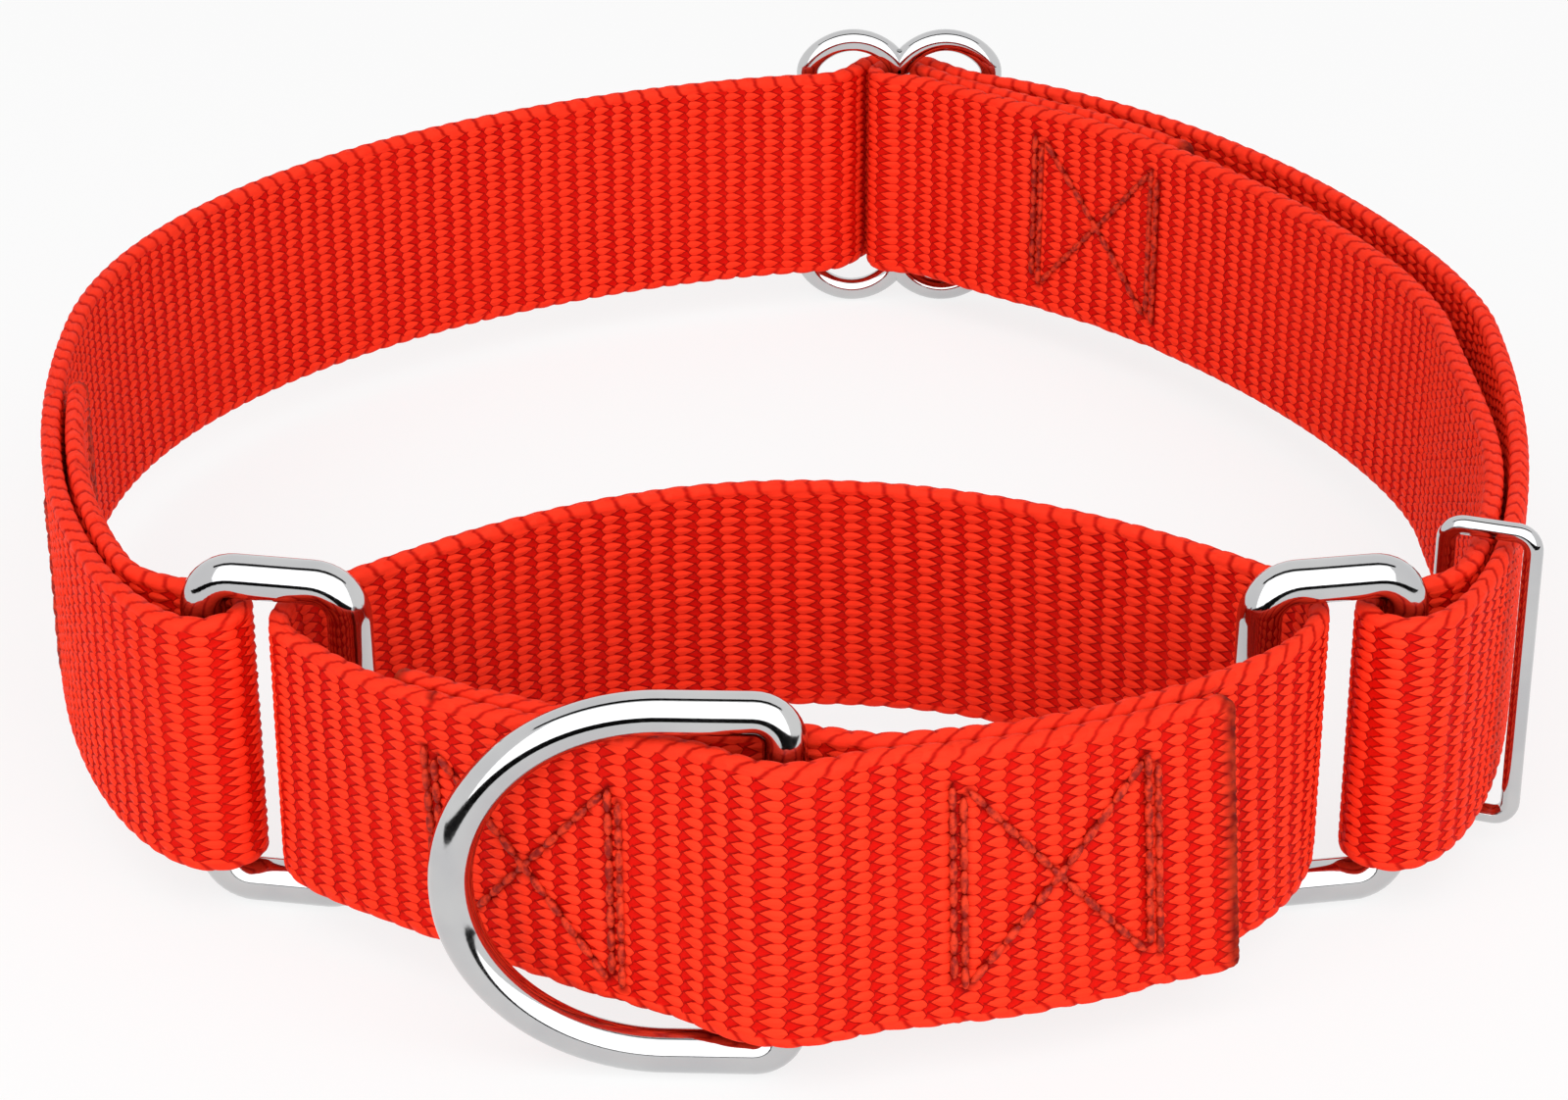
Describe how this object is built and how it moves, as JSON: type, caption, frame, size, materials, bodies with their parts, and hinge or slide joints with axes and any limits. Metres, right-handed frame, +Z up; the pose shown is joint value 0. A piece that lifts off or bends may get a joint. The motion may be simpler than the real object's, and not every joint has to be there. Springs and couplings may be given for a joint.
{
  "type": "martingale collar",
  "caption": "Webbing martingale collar: adjustable neck strap with a metal slide, and a sewn control loop on rings that tightens when its D-ring is pulled.",
  "frame": {"origin": "on the floor under the middle of the collar, which stands on the lower edges of its metal rings", "axes": "+Z up across the webbing, +Y from the control loop at the front to the slide at the back, +X to the right as seen from the front"},
  "size_m": [0.1464, 0.1796, 0.0346],
  "materials": {
    "webbing": "woven nylon, orange-red",
    "thread": "red thread",
    "nickel": "polished nickel plate"
  },
  "bodies": {
    "neck_strap": {"neck_strap_back": "webbing", "neck_strap_inner_run": "webbing", "slide_end_needle_thread": "thread", "slide_end_bobbin_thread": "thread"},
    "left_end": {"neck_strap_left_end": "webbing", "left_end_needle_thread": "thread", "left_end_bobbin_thread": "thread"},
    "right_end": {"neck_strap_right_end": "webbing"},
    "left_ring": {"left_ring": "nickel"},
    "right_ring": {"right_ring": "nickel"},
    "control_loop": {"control_loop_strap": "webbing", "left_box_needle_thread": "thread", "left_box_bobbin_thread": "thread", "right_box_needle_thread": "thread", "right_box_bobbin_thread": "thread"},
    "d_ring": {"d_ring": "nickel"},
    "keeper": {"keeper": "nickel"},
    "slide": {"slide_frame": "nickel", "slide_centre_bar": "nickel"}
  },
  "joints": [
    {"name": "left_draw_in", "type": "hinge", "parent": "neck_strap", "child": "left_end", "pos_m": [-0.07125, 0.00568, 0.0173], "axis": [0, 0, 1], "range_deg": [0, 5]},
    {"name": "right_draw_in", "type": "hinge", "parent": "neck_strap", "child": "right_end", "pos_m": [0.06655, 0.00568, 0.0173], "axis": [0, 0, 1], "range_deg": [-5, 0]},
    {"name": "left_ring_swivel", "type": "hinge", "parent": "left_end", "child": "left_ring", "pos_m": [-0.05065, -0.05683, 0.0173], "axis": [0, 0, 1], "range_deg": [-45, 0]},
    {"name": "right_ring_swivel", "type": "hinge", "parent": "right_end", "child": "right_ring", "pos_m": [0.05485, -0.05683, 0.0173], "axis": [0, 0, 1], "range_deg": [0, 45]},
    {"name": "control_loop_pull", "type": "slide", "parent": "neck_strap", "child": "control_loop", "axis": [0, -1, 0], "range_m": [0, 0.01]},
    {"name": "d_ring_swing", "type": "hinge", "parent": "control_loop", "child": "d_ring", "pos_m": [0.0004, -0.08407, 0.0173], "axis": [0, 0.1096, 0.994], "range_deg": [0, 172]},
    {"name": "keeper_slide", "type": "slide", "parent": "right_end", "child": "keeper", "axis": [0.3428, 0.9394, 0], "range_m": [-0.0015, 0.008]},
    {"name": "slide_rock", "type": "hinge", "parent": "neck_strap", "child": "slide", "pos_m": [0.0141, 0.08367, 0.0173], "axis": [0, 0, 1], "range_deg": [-2, 2]}
  ],
  "couplings": [
    {"joint": "right_draw_in", "follows": "left_draw_in", "ratio": -1},
    {"joint": "left_ring_swivel", "follows": "left_draw_in", "ratio": -9},
    {"joint": "right_ring_swivel", "follows": "left_draw_in", "ratio": 9},
    {"joint": "control_loop_pull", "follows": "left_draw_in", "m_per_rad": 0.11459}
  ]
}
